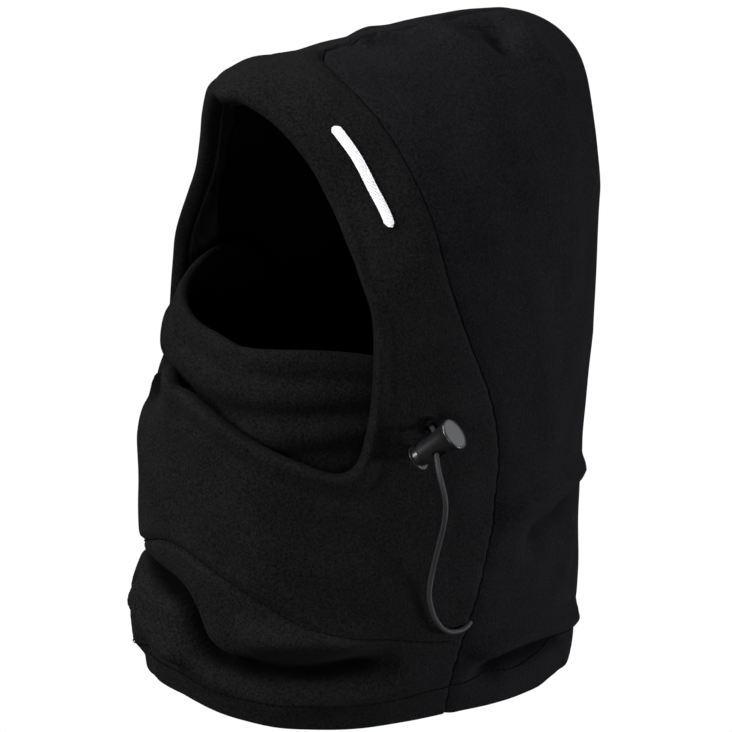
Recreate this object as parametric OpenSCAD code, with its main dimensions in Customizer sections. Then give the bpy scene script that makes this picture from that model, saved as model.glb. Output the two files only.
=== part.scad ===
// Fleece hood balaclava with a pull-up face mask and a drawcord.
// +Z is up, the wearer faces -Y and the wearer's left is +X. The origin is inside
// the crown, where the hood rests on the head. The right side mirrors the left, but
// each cord lock and the free end of the cord through it hang in their own way.

/* [Hood] */
// Half of the greatest width, over the ears
half_width = 98; // [96:0.5:100]
// Height from the hem to the top of the forehead
hood_height = 325; // [322:1:328]
// From the ears forward to the chin
front_depth = 120; // [118:0.5:122]
// From the ears back to the nape
back_depth = 128; // [124:1:132]

/* [Cloth] */
// Thickness of one layer of fleece
fleece = 2.4; // [2:0.1:2.6]
// Room for the cord between the outer layer and the facing
channel = 3.8; // [3.6:0.1:4.2]
// Height of the turned-up hem
hem_height = 14; // [10:1:18]
// Width of the sewn edges inside a seam
seam_allowance = 8; // [6:1:10]

/* [Face mask] */
// Half width of the mask between its side ends
mask_half_width = 84; // [80:0.5:84]
// Reach of the mask in front of the axis through its side ends
mask_reach = 125; // [120:0.5:126]
// Thickness of the doubled mask
mask_thickness = 4; // [3:0.5:4.5]

/* [Cord lock] */
// Diameter of the elastic cord
cord_d = 2.5; // [2:0.1:2.6]
// Radius of the barrel at the cord
barrel_r = 6.1; // [5.9:0.1:6.4]
// Radius of the flared end
flare_r = 8.1; // [7.6:0.1:8.6]
// Radius of the bore that holds the plunger
bore_r = 4.9; // [4.7:0.05:5]
// Travel of the plunger when it is squeezed
plunger_travel = 3; // [2:0.1:3]

/* [Hidden] */

// Levels of the hood from the hem to the top of the forehead. Each level has a point
// at the side, one at the front centre and one at the back centre; the level's line
// is a quarter of an oval from the side to the front and one from the side to the back.
side_x = half_width * [0.94, 0.99, 1, 1, 0.99, 0.97, 0.9, 0.67, 0.35, 0];
side_y = [2, 4, 6, 7, 6, 4, 0, -8, -15, -21];
side_z = hood_height * [0, 0.125, 0.26, 0.4, 0.54, 0.68, 0.81, 0.92, 0.98, 1];
front_y = -front_depth * [0.97, 1, 1, 0.99, 0.96, 0.81, 0.62, 0.65, 0.7, 0.72];
front_z = hood_height * [0.02, 0.13, 0.27, 0.425, 0.57, 0.685, 0.795, 0.885, 0.94, 0.96];
back_y = back_depth * [0.94, 0.97, 0.98, 1, 1.03, 1.06, 1.08, 1.04, 0.72, -0.164];
back_z = hood_height * [-0.012, 0.122, 0.26, 0.405, 0.57, 0.725, 0.875, 0.985, 1.025, 1];
levels = [for (i = [0:9]) [side_x[i], side_y[i], side_z[i], front_y[i], front_z[i], back_y[i], back_z[i]]];
// How much squarer than an ellipse the levels are
fullness = 0.85;
// Height of the origin above the hem
crown_z = 324;
// How steeply the forehead falls to the sides, and the half width of its rounded crest
crest_slope = 0.47;
crest_r = 8;

// Outlines as [angle, level]: the angle is 0 at the front, 90 at the side and 180 at
// the back, and the level is 0 at the hem and 1 at the top of the forehead.
face_opening = [[0, 1], [13, 0.91], [19, 0.855], [25, 0.79], [29, 0.735], [32, 0.685], [38, 0.64],
    [46, 0.595], [53, 0.545], [56, 0.495], [57, 0.44], [55.5, 0.39], [53, 0.357], [48, 0.347],
    [40, 0.357], [27, 0.375], [13, 0.397], [4, 0.41], [0, 0.411]];
side_seam = [[90, 1], [79, 0.96], [72, 0.89], [69, 0.815], [68, 0.765], [68, 0.69], [72, 0.62],
    [80, 0.52], [88, 0.43], [90.5, 0.365], [90.5, 0.315], [88.5, 0.24], [86, 0.18], [83, 0.13],
    [81, 0.07], [79.5, 0]];
neck_line = [[0, 0.23], [5, 0.228], [14, 0.215], [29, 0.187], [38, 0.165], [50, 0.15], [62, 0.135], [74, 0.12],
    [79, 0.115]];
channel_line = [[16, 1], [26, 0.93], [30.5, 0.876], [33.5, 0.818], [37, 0.767], [38.5, 0.715],
    [40.5, 0.668], [45, 0.62], [51, 0.585], [56, 0.54], [60, 0.5], [64, 0.46], [68.5, 0.428], [71, 0.415]];
bar_line = [[48, 0.79], [49.5, 0.745], [50.5, 0.695], [54.5, 0.645]];
// Share of the way down the side at which the front panel's edge turns along the hem
corner_share = 0.75;
seam_gap = 0.35;

// The two runs of the cord from the channel through an eyelet and a lock, then down to
// the side seam, in millimetres from the origin.
left_cord_route = [[89.6, -31.5, -165.7], [93.2, -32.8, -166.3], [96.6, -34.1, -167.2], [100.5, -36.3, -168.5],
    [104.6, -39.6, -171.4], [108.7, -42.9, -174.3], [112.6, -45.8, -177.2], [116, -47.4, -181.5],
    [118, -47, -187.5], [117.8, -45.2, -195], [115.2, -43.2, -204.5], [110.8, -41.3, -214.5],
    [104.6, -39.2, -228], [99.9, -37.8, -240], [97.2, -36.8, -250], [96.8, -34.9, -258.5],
    [97.5, -31.8, -266], [98.5, -27, -271.8], [99.2, -20.2, -274], [98.6, -13.5, -273.8], [96.6, -9, -273]];
right_cord_route = [[-90, -29.2, -165.2], [-94, -30, -165.5], [-97.4, -29.6, -167.8], [-106, -27, -176.3],
    [-111.8, -25.3, -181.9], [-114.1, -24.6, -184.2], [-115.4, -24.3, -188], [-114.8, -23.8, -195],
    [-112, -23, -206], [-108, -22, -218], [-104, -21, -230], [-101, -20, -242], [-99.8, -19.3, -252],
    [-99.3, -18.8, -261], [-99, -17.5, -269], [-98.9, -15.3, -274.3], [-98.6, -12.5, -277], [-96.6, -9, -277]];

// Each cord lock: the cord's middle in it, and the turn of its own axes, in which the
// barrel runs along +Y to its flared end and the cord leaves along -Z.
left_lock_at = [104.6, -39.6, -171.4];
left_lock_turn = [52, -38, -103];
right_lock_at = [-106, -27, -176.3];
right_lock_turn = [45, 16, 58];
barrel_front = -8.4;
barrel_back = 12.4;
bore_back = 8.6;
running_gap = 0.08;
head_r = 6.4;
head_thickness = 1.5;
slot_half_height = 2.4;
plunger_back = 3.4;
spring_wire_r = 0.25;
spring_turns = 4;
left_eyelet_at = [93.2, -32.8, -166.3];
left_eyelet_turn = [0, 98, -17];
right_eyelet_at = [-94, -30, -165.5];
right_eyelet_turn = [0, 90, -168];
eyelet_bore_r = 2.5;
eyelet_flange_r = 4.3;
eyelet_sheet = 0.6;
// The cloth that the eyelet holds, from its inner face to its outer face
eyelet_grip = [-2.2, 0.2];

// A smooth line through points; t runs from 0 to 1.
function along(points, t) =
    let (n = len(points) - 1, s = min(max(t, 0), 1) * n, i = min(floor(s), n - 1), f = s - i,
        b = points[i], c = points[i + 1],
        a = i > 0 ? points[i - 1] : 2 * b - c, d = i < n - 1 ? points[i + 2] : 2 * c - b)
    0.5 * (2 * b + (c - a) * f + (2 * a - 5 * b + 4 * c - d) * f ^ 2 + (3 * b - a - 3 * c + d) * f ^ 3);

function mix(a, b, t) = a + (b - a) * t;
function smooth(t) = let (s = min(max(t, 0), 1)) s * s * (3 - 2 * s);
function unit(v) = v / norm(v);

// How much higher the cloth hangs near the hem: a little at the front and less at the back.
function hang(y, z) = smooth((-240 - z) / 70) * (2.5 - 7 * smooth((y + 35) / 95));

// The hood's outer surface at an angle and a level.
function hood(angle, level) =
    let (r = along(levels, level), turn = 90 - abs(angle), c = cos(turn), s = abs(sin(turn)),
        x = r[0] * sign(c) * abs(c) ^ fullness, in_front = abs(angle) <= 90,
        y = r[1] + ((in_front ? r[3] : r[5]) - r[1]) * s,
        z = (in_front ? mix(r[2], r[4], 1 - c) : mix(r[2], r[6], s)) - crown_z
            + (in_front ? crest_slope * smooth(5 * level - 3.75) * s * (abs(x) - norm([x, crest_r])) : 0))
    [angle < 0 ? -x : x, y, z + hang(y, z)];

// The outward normal of a surface whose u runs back and whose w runs down the left side.
function normal_of(f, u, w) =
    let (e = 0.004)
    unit(cross(f(u, w + e) - f(u, w - e), f(min(u + e, 1), w) - f(max(u - e, 0), w)));

function sunk(f, u, w, depth) = f(u, w) - depth * normal_of(f, u, w);

// A sheet of cloth on the surface f from the depth outer to the depth inner(i), which
// may differ from one line i of the sheet to the next. u_at(i) spaces those lines, and
// keep(p) holds a point on its own side of the hood.
module cloth(f, nu, nw, outer, inner, closed = false, u_at = function(t) t, keep = function(p) p) {
    columns = closed ? nw : nw + 1;
    points = [for (side = [0, 1]) for (j = [0:columns - 1]) for (i = [0:nu])
        keep(sunk(f, u_at(i / nu), j / nw, side == 0 ? outer : inner(i)))];
    at = function(side, i, j) side * columns * (nu + 1) + (j % columns) * (nu + 1) + i;
    skin = [for (j = [0:nw - 1]) for (i = [0:nu - 1])
        let (a = at(0, i, j), b = at(0, i + 1, j), c = at(0, i + 1, j + 1), d = at(0, i, j + 1),
            k = columns * (nu + 1))
        each [[a, b, c], [a, c, d], [a + k, c + k, b + k], [a + k, d + k, c + k]]];
    long_edges = [for (j = [0:nw - 1])
        let (a = at(0, 0, j), b = at(0, 0, j + 1), c = at(0, nu, j), d = at(0, nu, j + 1), k = columns * (nu + 1))
        each [[a, b, b + k], [a, b + k, a + k], [d, c, c + k], [d, c + k, d + k]]];
    short_edges = closed ? [] : [for (i = [0:nu - 1])
        let (a = at(0, i, 0), b = at(0, i + 1, 0), c = at(0, i, nw), d = at(0, i + 1, nw), k = columns * (nu + 1))
        each [[b, a, a + k], [b, a + k, b + k], [c, d, d + k], [c, d + k, c + k]]];
    polyhedron(points, concat(skin, long_edges, short_edges), convexity = 10);
}

// A tube through the points of a line, with flat ends.
module tube(line, radius, sides = 8, closed = false) {
    n = len(line);
    across = function(i)
        let (a = line[closed ? (i + n - 1) % n : max(i - 1, 0)],
            b = line[closed ? (i + 1) % n : min(i + 1, n - 1)],
            d = unit(b - a), up = abs(d[2]) > 0.9 ? [0, 1, 0] : [0, 0, 1], x = unit(cross(d, up)))
        [x, cross(x, d)];
    points = [for (i = [0:n - 1]) let (frame = across(i)) for (k = [0:sides - 1])
        line[i] + radius * (cos(360 * k / sides) * frame[0] + sin(360 * k / sides) * frame[1])];
    rings = closed ? n : n - 1;
    wall = [for (i = [0:rings - 1]) for (k = [0:sides - 1])
        let (a = i * sides + k, b = i * sides + (k + 1) % sides, j = ((i + 1) % n) * sides,
            c = j + (k + 1) % sides, d = j + k)
        each [[a, b, c], [a, c, d]]];
    ends = closed ? [] : [[for (k = [0:sides - 1]) sides - 1 - k], [for (k = [0:sides - 1]) (n - 1) * sides + k]];
    polyhedron(points, concat(wall, ends), convexity = 10);
}

// The front panel runs from the face opening (u = 0) out to the side seams and the
// hem (u = 1), and w goes once round the opening from the forehead over the left. Under
// the right cheek the edge of the opening is pulled up a little.
function outer_edge(s) =
    s < corner_share ? along(side_seam, s / corner_share)
    : [mix(side_seam[15][0], 0, (s - corner_share) / (1 - corner_share)), 0];

function front(u, w) =
    let (turn = w - floor(w), s = turn < 0.5 ? 2 * turn : 2 - 2 * turn,
        p = mix(along(face_opening, s), outer_edge(s), u),
        pulled_up = turn < 0.5 ? 0 : 0.03 * smooth((1 - s) / 0.12) * smooth((s - 0.62) / 0.2) * (1 - u))
    hood(turn < 0.5 ? p[0] : -p[0], p[1] + pulled_up);

function back(u, w) =
    let (seam = along(side_seam, mix(0.006, 1, w)))
    beside_middle(hood(mix(seam[0] + seam_gap, 180, u), seam[1]));

function beside_middle(p) = [max(p[0], 0.3), p[1], p[2]];

// Share of the front panel that the facing covers: most of the band beside the face,
// and a narrow strip below the face opening.
function facing_share(w) =
    let (s = 1 - abs(1 - 2 * w))
    mix(0.78, 0.2, smooth((s - 0.42) / 0.2));

module front_panel() {
    lip = fleece + channel + fleece;
    color("#1b1b1d")
    difference() {
        cloth(function(u, w) front(u, w), 9, 64, 0, function(i) i < 2 ? lip : fleece, true,
            function(t) t ^ 1.5);
        at_left_eyelet() eyelet_room();
        at_right_eyelet() eyelet_room();
    }
}

module front_facing() {
    color("#161618")
    cloth(function(u, w) front(mix(0.13, facing_share(w - floor(w)), u), w), 3, 64,
        fleece + channel, function(i) 2 * fleece + channel, true);
}

module left_back_panel() {
    color("#1d1c21")
    cloth(function(u, w) back(u, w), 10, 24, 0, function(i) fleece, keep = function(p) beside_middle(p));
}

module right_back_panel() {
    mirror([1, 0, 0]) left_back_panel();
}

module left_side_seam() {
    reach = seam_allowance / 2;
    color("#141416")
    cloth(function(u, w)
            let (seam = along(side_seam, mix(2, 22, w) / 24))
            hood(seam[0] + mix(-reach, reach, u) * 0.9, seam[1]),
        2, 20, fleece + 0.9, function(i) 2 * fleece + 0.6);
}

module right_side_seam() {
    mirror([1, 0, 0]) left_side_seam();
}

module crown_seam() {
    color("#141416")
    cloth(function(u, w)
            let (seam = along(side_seam, mix(1, 22, w) / 24))
            hood(180, seam[1]) + [mix(seam_allowance / 2, -seam_allowance / 2, u), 0, 0],
        2, 21, fleece + 1.1, function(i) 2 * fleece + 0.8);
}

module neck_hem() {
    color("#19191b")
    cloth(function(u, w) hood(180 - 360 * (w - floor(w)), mix(hem_height, 1, u) / hood_height),
        2, 56, fleece + 1.1, function(i) 2 * fleece + 0.9, true);
}

// A sewing thread that lies on the cloth along a line of [angle, level] points.
module thread(line, closed = false) {
    color("#0e0e10")
    tube([for (p = line) let (f = function(u, w) hood(p[0] + u * 90, p[1] - w)) sunk(f, 0, 0, -0.65)],
        0.5, 6, closed);
}

module hem_stitching() {
    thread([for (i = [0:63]) [-180 + 360 * i / 64, hem_height / hood_height]], true);
}

module neck_stitching() {
    thread([for (i = [-20:20]) let (p = along(neck_line, abs(i) / 20)) [sign(i) * p[0], p[1]]]);
}

// The mask's lower part, which is sewn to the front panel along the neck line.
module mask_apron() {
    color("#151517")
    cloth(function(u, w)
            let (s = 2 * w - 1, foot = along(neck_line, abs(s)))
            hood(-sign(s) * foot[0], mix(0.3, foot[1], u)),
        3, 24, 2 * fleece + channel + 0.6, function(i) 3 * fleece + channel + 0.6);
}

// The mask is a surface turned about the axis through its side ends, so it slides
// behind the front panel as it is pulled down. w goes from the left end to the right.
mask_axis_at = [0, 20, -174];
function mask_top(s) = 21 + 24 * abs(s - 0.12) ^ 1.4 + 4 * exp(-((s + 0.4) / 0.2) ^ 2);
function mask(u, w) =
    let (s = 1 - 2 * w, turn = mix(90, 12, abs(s)), tilt = mix(-11.5, mask_top(s), u),
        x = sign(s) * mask_half_width * cos(turn) ^ 0.7, reach = mask_reach * sin(turn))
    mask_axis_at + [x, -reach * cos(tilt), reach * sin(tilt)];

module face_mask() {
    color("#1a1a1c")
    cloth(function(u, w) mask(mix(0.86, 0, u), w), 6, 40, 0, function(i) mask_thickness);
}

module mask_top_hem() {
    color("#1c1c1e")
    cloth(function(u, w) mask(mix(1, 0.87, u), w), 1, 40, -0.3, function(i) mask_thickness + 0.3);
}

module embroidered_bar() {
    color("white")
    cloth(function(u, w) let (p = along(bar_line, w)) hood(p[0] + mix(-1.4, 1.4, u), p[1]),
        2, 10, -0.9, function(i) -0.1);
}

// The cord is one length: from the middle of the forehead each half runs through the
// channel to its eyelet, its lock and its side seam.
function cord_half(side, route) = concat(
    [for (i = [0:13]) let (p = along(channel_line, i / 13), f = function(u, w) hood(p[0] + u * 90, p[1] - w),
            inside = sunk(f, 0, 0, fleece + cord_d / 2 + 0.4))
        [side * inside[0], inside[1], inside[2]]],
    [for (i = [0:26]) along(route, i / 26)]);

module drawcord() {
    left = cord_half(1, left_cord_route);
    right = cord_half(-1, right_cord_route);
    color("#3a3a3e")
    tube(concat([for (i = [len(right) - 1:-1:0]) right[i]], left), cord_d / 2);
}

module at_left_eyelet() {
    translate(left_eyelet_at) rotate(left_eyelet_turn) children();
}

module at_right_eyelet() {
    translate(right_eyelet_at) rotate(right_eyelet_turn) children();
}

module eyelet() {
    outer = eyelet_bore_r + eyelet_sheet;
    bottom = eyelet_grip[0] - 0.05;
    top = eyelet_grip[1] + 0.05;
    color("#202022")
    rotate_extrude($fn = 48)
    polygon([[eyelet_bore_r, bottom - eyelet_sheet], [eyelet_flange_r, bottom - eyelet_sheet],
        [eyelet_flange_r, bottom], [outer, bottom], [outer, top], [eyelet_flange_r, top],
        [eyelet_flange_r, top + eyelet_sheet], [eyelet_bore_r, top + eyelet_sheet]]);
}

// The space that an eyelet takes in the cloth, with the cloth pressed between its flanges.
module eyelet_room() {
    cylinder(r = eyelet_bore_r + eyelet_sheet + 0.1, h = 9, center = true);
    translate([0, 0, eyelet_grip[1]]) cylinder(r = eyelet_flange_r + 0.1, h = 4);
    translate([0, 0, eyelet_grip[0] - 4]) cylinder(r = eyelet_flange_r + 0.1, h = 4);
}

module left_eyelet() {
    at_left_eyelet() eyelet();
}

module right_eyelet() {
    at_right_eyelet() eyelet();
}

module at_left_lock() {
    translate(left_lock_at) rotate(left_lock_turn) children();
}

module at_right_lock() {
    translate(right_lock_at) rotate(right_lock_turn) children();
}

// A slot through the lock along Z, as long as from front to back along Y.
module cord_slot(front_end, back_end) {
    middle = [front_end + slot_half_height, back_end - slot_half_height];
    for (y = middle) translate([0, y, 0]) cylinder(r = slot_half_height, h = 30, center = true, $fn = 40);
    translate([-slot_half_height, middle[0], -15]) cube([2 * slot_half_height, middle[1] - middle[0], 30]);
}

module lock_barrel() {
    color("#3c3c40")
    difference() {
        rotate([-90, 0, 0]) rotate_extrude($fn = 64)
        polygon([[bore_r, barrel_front], [barrel_r - 0.8, barrel_front], [barrel_r - 0.4, barrel_front + 0.5],
            [barrel_r, 0], [barrel_r + 0.5, 5], [barrel_r + 1.2, 8.6], [flare_r - 0.3, 10.6],
            [flare_r, 11.4], [flare_r - 0.5, barrel_back - 0.2], [flare_r - 1.1, barrel_back - 0.5],
            [0, barrel_back - 0.2], [0, bore_back], [bore_r, bore_back]]);
        cord_slot(-cord_d / 2 - 0.65, 5);
    }
}

module left_lock_barrel() {
    at_left_lock() lock_barrel();
}

module right_lock_barrel() {
    at_right_lock() lock_barrel();
}

module lock_plunger() {
    shaft_r = bore_r - running_gap;
    head_front = barrel_front - plunger_travel - 0.2;
    color("#2e2e32")
    difference() {
        rotate([-90, 0, 0]) rotate_extrude($fn = 64)
        polygon([[0, head_front - head_thickness - 0.4], [head_r - 1.6, head_front - head_thickness],
            [head_r - 0.3, head_front - head_thickness + 0.5], [head_r, head_front - 0.4], [head_r, head_front],
            [shaft_r, head_front], [shaft_r, plunger_back], [0, plunger_back]]);
        cord_slot(-slot_half_height * 2 - plunger_travel + 1.3, cord_d / 2 + 0.1);
    }
}

module left_lock_plunger() {
    at_left_lock() lock_plunger();
}

module right_lock_plunger() {
    at_right_lock() lock_plunger();
}

module lock_spring() {
    coil_r = 3.6;
    steps = spring_turns * 12;
    start = plunger_back + spring_wire_r + 0.05;
    end = bore_back - spring_wire_r - 0.05;
    color("silver")
    tube([for (i = [0:steps]) let (turn = 360 * spring_turns * i / steps)
            [coil_r * cos(turn), mix(start, end, i / steps), coil_r * sin(turn)]],
        spring_wire_r, 6);
}

module left_lock_spring() {
    at_left_lock() lock_spring();
}

module right_lock_spring() {
    at_right_lock() lock_spring();
}

front_panel();
front_facing();
left_back_panel();
right_back_panel();
left_side_seam();
right_side_seam();
crown_seam();
neck_hem();
hem_stitching();
neck_stitching();
mask_apron();
face_mask();
mask_top_hem();
embroidered_bar();
drawcord();
left_eyelet();
right_eyelet();
left_lock_barrel();
right_lock_barrel();
left_lock_plunger();
right_lock_plunger();
left_lock_spring();
right_lock_spring();
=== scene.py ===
"""Looks of the fleece hood balaclava: cloth, stitching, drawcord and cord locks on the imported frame."""

import math

import bmesh
import bpy
import numpy as np
from mathutils import Euler, Matrix, Vector


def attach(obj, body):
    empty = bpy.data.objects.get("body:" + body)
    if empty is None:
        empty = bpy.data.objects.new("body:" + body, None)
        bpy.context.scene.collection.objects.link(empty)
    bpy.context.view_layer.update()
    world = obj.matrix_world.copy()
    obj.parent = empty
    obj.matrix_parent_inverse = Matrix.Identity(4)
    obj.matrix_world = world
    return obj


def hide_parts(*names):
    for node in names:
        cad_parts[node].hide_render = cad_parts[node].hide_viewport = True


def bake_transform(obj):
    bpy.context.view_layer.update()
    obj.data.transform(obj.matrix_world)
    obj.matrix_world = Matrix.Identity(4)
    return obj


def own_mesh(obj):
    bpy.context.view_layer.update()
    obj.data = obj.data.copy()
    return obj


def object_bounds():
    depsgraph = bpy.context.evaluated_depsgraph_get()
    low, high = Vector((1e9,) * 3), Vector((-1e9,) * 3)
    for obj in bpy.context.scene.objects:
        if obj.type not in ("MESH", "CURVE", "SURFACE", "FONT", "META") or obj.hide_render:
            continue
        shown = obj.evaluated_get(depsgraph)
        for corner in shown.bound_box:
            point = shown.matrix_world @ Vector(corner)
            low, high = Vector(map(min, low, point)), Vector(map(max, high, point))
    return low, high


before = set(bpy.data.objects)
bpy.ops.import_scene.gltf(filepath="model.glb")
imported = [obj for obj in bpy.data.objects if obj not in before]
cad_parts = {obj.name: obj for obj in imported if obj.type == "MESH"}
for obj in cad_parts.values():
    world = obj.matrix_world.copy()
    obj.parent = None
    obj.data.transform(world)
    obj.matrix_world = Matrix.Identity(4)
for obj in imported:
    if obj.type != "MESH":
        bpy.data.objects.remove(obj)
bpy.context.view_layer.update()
MM = 0.001

# ---------------------------------------------------------------- camera
# The target is the middle of the hood; the aim is a little beside it.
AZIMUTH, ELEVATION, DISTANCE = 50, 17.5, 1.3
SIDEWAYS = Vector((math.cos(math.radians(AZIMUTH)), math.sin(math.radians(AZIMUTH)), 0))
TARGET = Vector((0, 0, -0.165)) + 0.0036 * SIDEWAYS
camera_data = bpy.data.cameras.new("camera")
camera_data.lens = 124.7
camera_data.sensor_width = 36
camera_data.clip_start = 0.05
camera = bpy.data.objects.new("camera", camera_data)
a, e = math.radians(AZIMUTH), math.radians(ELEVATION)
towards = Vector((math.sin(a) * math.cos(e), -math.cos(a) * math.cos(e), math.sin(e)))
camera.location = TARGET + DISTANCE * towards
camera.rotation_euler = (-towards).to_track_quat("-Z", "Y").to_euler()
bpy.context.scene.collection.objects.link(camera)
bpy.context.scene.camera = camera

# ---------------------------------------------------------------- the hood's surface, in mm
HALF_WIDTH, HEIGHT, FRONT, BACK = 98, 325, 120, 128
CROWN_Z = 324
LEVELS = np.column_stack([
    HALF_WIDTH * np.array([0.94, 0.99, 1, 1, 0.99, 0.97, 0.9, 0.67, 0.35, 0]),
    np.array([2, 4, 6, 7, 6, 4, 0, -8, -15, -21]),
    HEIGHT * np.array([0, 0.125, 0.26, 0.4, 0.54, 0.68, 0.81, 0.92, 0.98, 1]),
    -FRONT * np.array([0.97, 1, 1, 0.99, 0.96, 0.81, 0.62, 0.65, 0.7, 0.72]),
    HEIGHT * np.array([0.02, 0.13, 0.27, 0.425, 0.57, 0.685, 0.795, 0.885, 0.94, 0.96]),
    BACK * np.array([0.94, 0.97, 0.98, 1, 1.03, 1.06, 1.08, 1.04, 0.72, -0.164]),
    HEIGHT * np.array([-0.012, 0.122, 0.26, 0.405, 0.57, 0.725, 0.875, 0.985, 1.025, 1]),
])
FACE_OPENING = [
    (0, 1), (13, 0.91), (19, 0.855), (25, 0.79), (29, 0.735), (32, 0.685), (38, 0.64),
    (46, 0.595), (53, 0.545), (56, 0.495), (57, 0.44), (55.5, 0.39), (53, 0.357), (48, 0.347),
    (40, 0.357), (27, 0.375), (13, 0.397), (4, 0.41), (0, 0.411),
]
SIDE_SEAM = [
    (90, 1), (79, 0.96), (72, 0.89), (69, 0.815), (68, 0.765), (68, 0.69), (72, 0.62),
    (80, 0.52), (88, 0.43), (90.5, 0.365), (90.5, 0.315), (88.5, 0.24), (86, 0.18), (83, 0.13),
    (81, 0.07), (79.5, 0),
]
NECK_LINE = [
    (0, 0.23), (5, 0.228), (14, 0.215), (29, 0.187), (38, 0.165), (50, 0.15), (62, 0.135),
    (74, 0.12), (79, 0.115),
]
CHANNEL_LINE = [
    (16, 1), (26, 0.93), (30.5, 0.876), (33.5, 0.818), (37, 0.767), (38.5, 0.715), (40.5, 0.668),
    (45, 0.62), (51, 0.585), (56, 0.54), (60, 0.5), (64, 0.46), (68.5, 0.428), (71, 0.415),
]
BAR_LINE = [(48, 0.79), (49.5, 0.745), (50.5, 0.695), (54.5, 0.645)]
LEFT_CORD_ROUTE = [
    (89.6, -31.5, -165.7), (93.2, -32.8, -166.3), (96.6, -34.1, -167.2), (100.5, -36.3, -168.5),
    (104.6, -39.6, -171.4), (108.7, -42.9, -174.3), (112.6, -45.8, -177.2), (116, -47.4, -181.5),
    (118, -47, -187.5), (117.8, -45.2, -195), (115.2, -43.2, -204.5), (110.8, -41.3, -214.5),
    (104.6, -39.2, -228), (99.9, -37.8, -240), (97.2, -36.8, -250), (96.8, -34.9, -258.5),
    (97.5, -31.8, -266), (98.5, -27, -271.8), (99.2, -20.2, -274), (98.6, -13.5, -273.8), (96.6, -9, -273),
]
RIGHT_CORD_ROUTE = [
    (-90, -29.2, -165.2), (-94, -30, -165.5), (-97.4, -29.6, -167.8), (-106, -27, -176.3),
    (-111.8, -25.3, -181.9), (-114.1, -24.6, -184.2), (-115.4, -24.3, -188), (-114.8, -23.8, -195),
    (-112, -23, -206), (-108, -22, -218), (-104, -21, -230), (-101, -20, -242), (-99.8, -19.3, -252),
    (-99.3, -18.8, -261), (-99, -17.5, -269), (-98.9, -15.3, -274.3), (-98.6, -12.5, -277), (-96.6, -9, -277),
]
CORD_D = 2.5
# The cloth's thickness and the room in the cord channel.
FLEECE, CHANNEL = 2.4, 3.8
# The share of the way down each side of the front panel that runs along the side seam; the rest is hem.
CORNER_SHARE = 0.75
HEM_HEIGHT = 14
HEM_LEVEL = HEM_HEIGHT / HEIGHT
# The sewn edges inside the seams: how deep their outer and inner faces lie, in mm, and the half width
# of the side seams' strips in degrees round the hood.
ALLOWANCE_TOP, ALLOWANCE_DEPTH, ALLOWANCE_HALF = FLEECE + 0.9, 2 * FLEECE + 0.7, 3.6


def along(points, t):
    """Points of a smooth line through a list of points; t runs from 0 to 1."""
    p = np.asarray(points, float)
    n = len(p) - 1
    s = np.clip(np.asarray(t, float), 0, 1) * n
    i = np.minimum(s.astype(int), n - 1)
    f = (s - i)[..., None]
    b, c = p[i], p[i + 1]
    a = np.where(i[..., None] > 0, p[np.maximum(i - 1, 0)], 2 * b - c)
    d = np.where(i[..., None] < n - 1, p[np.minimum(i + 2, n)], 2 * c - b)
    return 0.5 * (2 * b + (c - a) * f + (2 * a - 5 * b + 4 * c - d) * f**2 + (3 * b - a - 3 * c + d) * f**3)


def mix(a, b, t):
    return a + (b - a) * t


def smooth(t):
    t = np.clip(t, 0, 1)
    return t * t * (3 - 2 * t)


def unit(v):
    return v / np.maximum(np.linalg.norm(v, axis=-1, keepdims=True), 1e-9)


def hood(angle, level):
    """The hood's outer surface: angle 0 is the front, 90 the left, 180 the back; level 0 is the hem."""
    angle, level = np.broadcast_arrays(np.asarray(angle, float), np.asarray(level, float))
    r = along(LEVELS, level)
    turn = np.radians(90 - np.abs(angle))
    c, s = np.cos(turn), np.abs(np.sin(turn))
    x = r[..., 0] * np.sign(c) * np.abs(c) ** 0.85
    in_front = np.abs(angle) <= 90
    y = r[..., 1] + np.where(in_front, r[..., 3] - r[..., 1], r[..., 5] - r[..., 1]) * s
    z = np.where(in_front, mix(r[..., 2], r[..., 4], 1 - c), mix(r[..., 2], r[..., 6], s)) - CROWN_Z
    crest = 0.47 * smooth(5 * level - 3.75) * s * (np.abs(x) - np.hypot(x, 8))
    z = z + np.where(in_front, crest, 0)
    # The hem hangs a little higher at the front and lower at the back than a level edge.
    z = z + smooth((-240 - z) / 70) * (2.5 - 7 * smooth((y + 35) / 95))
    return np.stack([np.where(angle < 0, -x, x), y, z], -1)


def outer_edge(s):
    seam = along(SIDE_SEAM, s / CORNER_SHARE)
    hem = (s - CORNER_SHARE) / (1 - CORNER_SHARE)
    corner = np.stack([mix(SIDE_SEAM[-1][0], 0, np.clip(hem, 0, 1)), np.zeros_like(s)], -1)
    return np.where((s < CORNER_SHARE)[..., None], seam, corner)


def front(u, w):
    """The front panel from the face opening (u = 0) to the seams and hem (u = 1); w goes once round."""
    turn = w - np.floor(w)
    s = np.where(turn < 0.5, 2 * turn, 2 - 2 * turn)
    p = mix(along(FACE_OPENING, s), outer_edge(s), u[..., None])
    pulled_up = np.where(turn < 0.5, 0, 0.03 * smooth((1 - s) / 0.12) * smooth((s - 0.62) / 0.2) * (1 - u))
    return hood(np.where(turn < 0.5, p[..., 0], -p[..., 0]), p[..., 1] + pulled_up)


def back(u, w):
    """The left back panel from the side seam (u = 0) to the centre seam (u = 1); w goes down."""
    seam = along(SIDE_SEAM, mix(0.006, 1, w))
    return hood(mix(seam[..., 0] + 0.15, 180, u), seam[..., 1])


def frame_of(f, u, w):
    """Points of f with the tangent along u and the outward normal."""
    e = 0.002
    low, high = np.maximum(u - e, 0), np.minimum(u + e, 1)
    point = f(u, w)
    du = (f(high, w) - f(low, w)) / (high - low)[..., None]
    dw = f(u, w + e) - f(u, w - e)
    return point, du, unit(np.cross(dw, du))


# ---------------------------------------------------------------- folds
# Each fold is a line of (angle, level) points, how far it stands out in mm and its half width in mm.
FOLDS = []
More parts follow.
